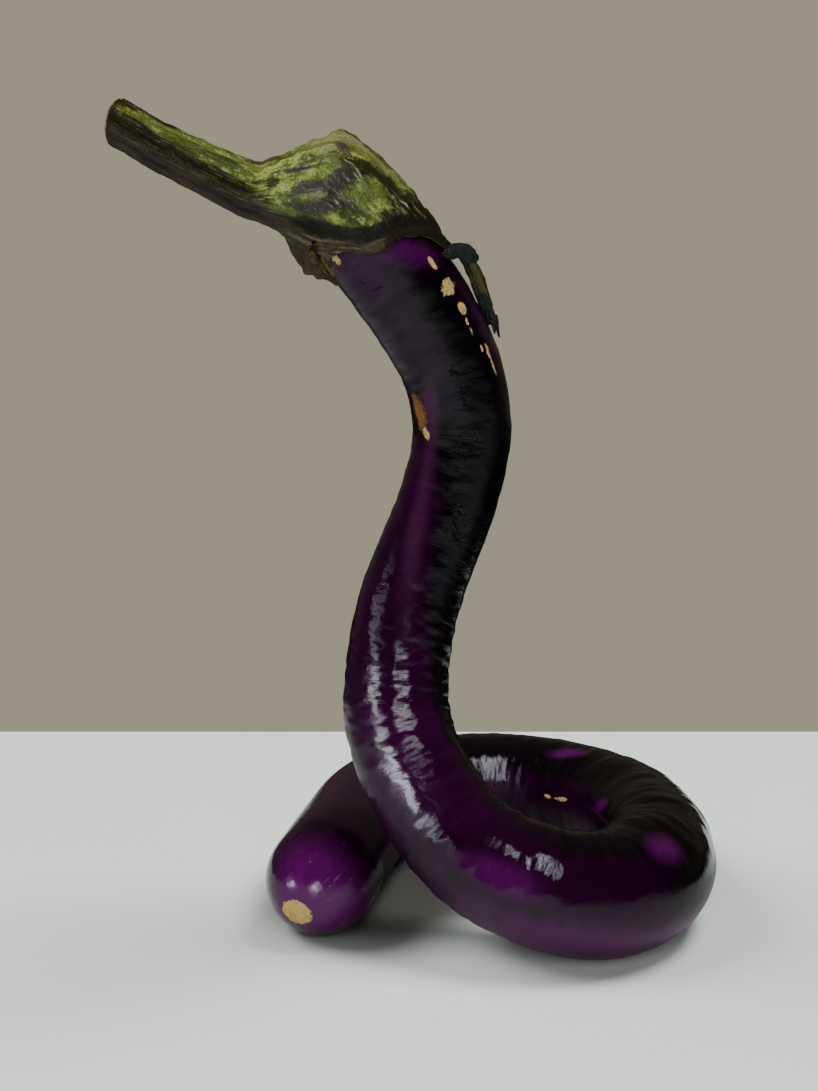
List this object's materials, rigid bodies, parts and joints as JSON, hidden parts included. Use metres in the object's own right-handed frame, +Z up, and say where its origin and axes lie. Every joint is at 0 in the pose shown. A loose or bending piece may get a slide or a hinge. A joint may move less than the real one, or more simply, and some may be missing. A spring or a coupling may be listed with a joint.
{
  "type": "eggplant",
  "caption": "Long slim eggplant that grew in a coil, standing on its loop with a bowed neck, a lobed calyx and a bent, ridged stalk.",
  "frame": {"origin": "on the surface it stands on, under the middle of its outline", "axes": "+Z up; +X to the right, away from the side the stalk points to; +Y to the back, away from the blossom end"},
  "size_m": [0.1606, 0.124, 0.2141],
  "materials": {
    "fruit_skin": "glossy dark purple skin",
    "calyx_green": "satin, green with purple-brown patches",
    "stalk_green": "satin, green above and brown-purple below"
  },
  "bodies": {
    "root": {"fruit": "fruit_skin", "calyx": "calyx_green", "stalk": "stalk_green"}
  },
  "joints": []
}
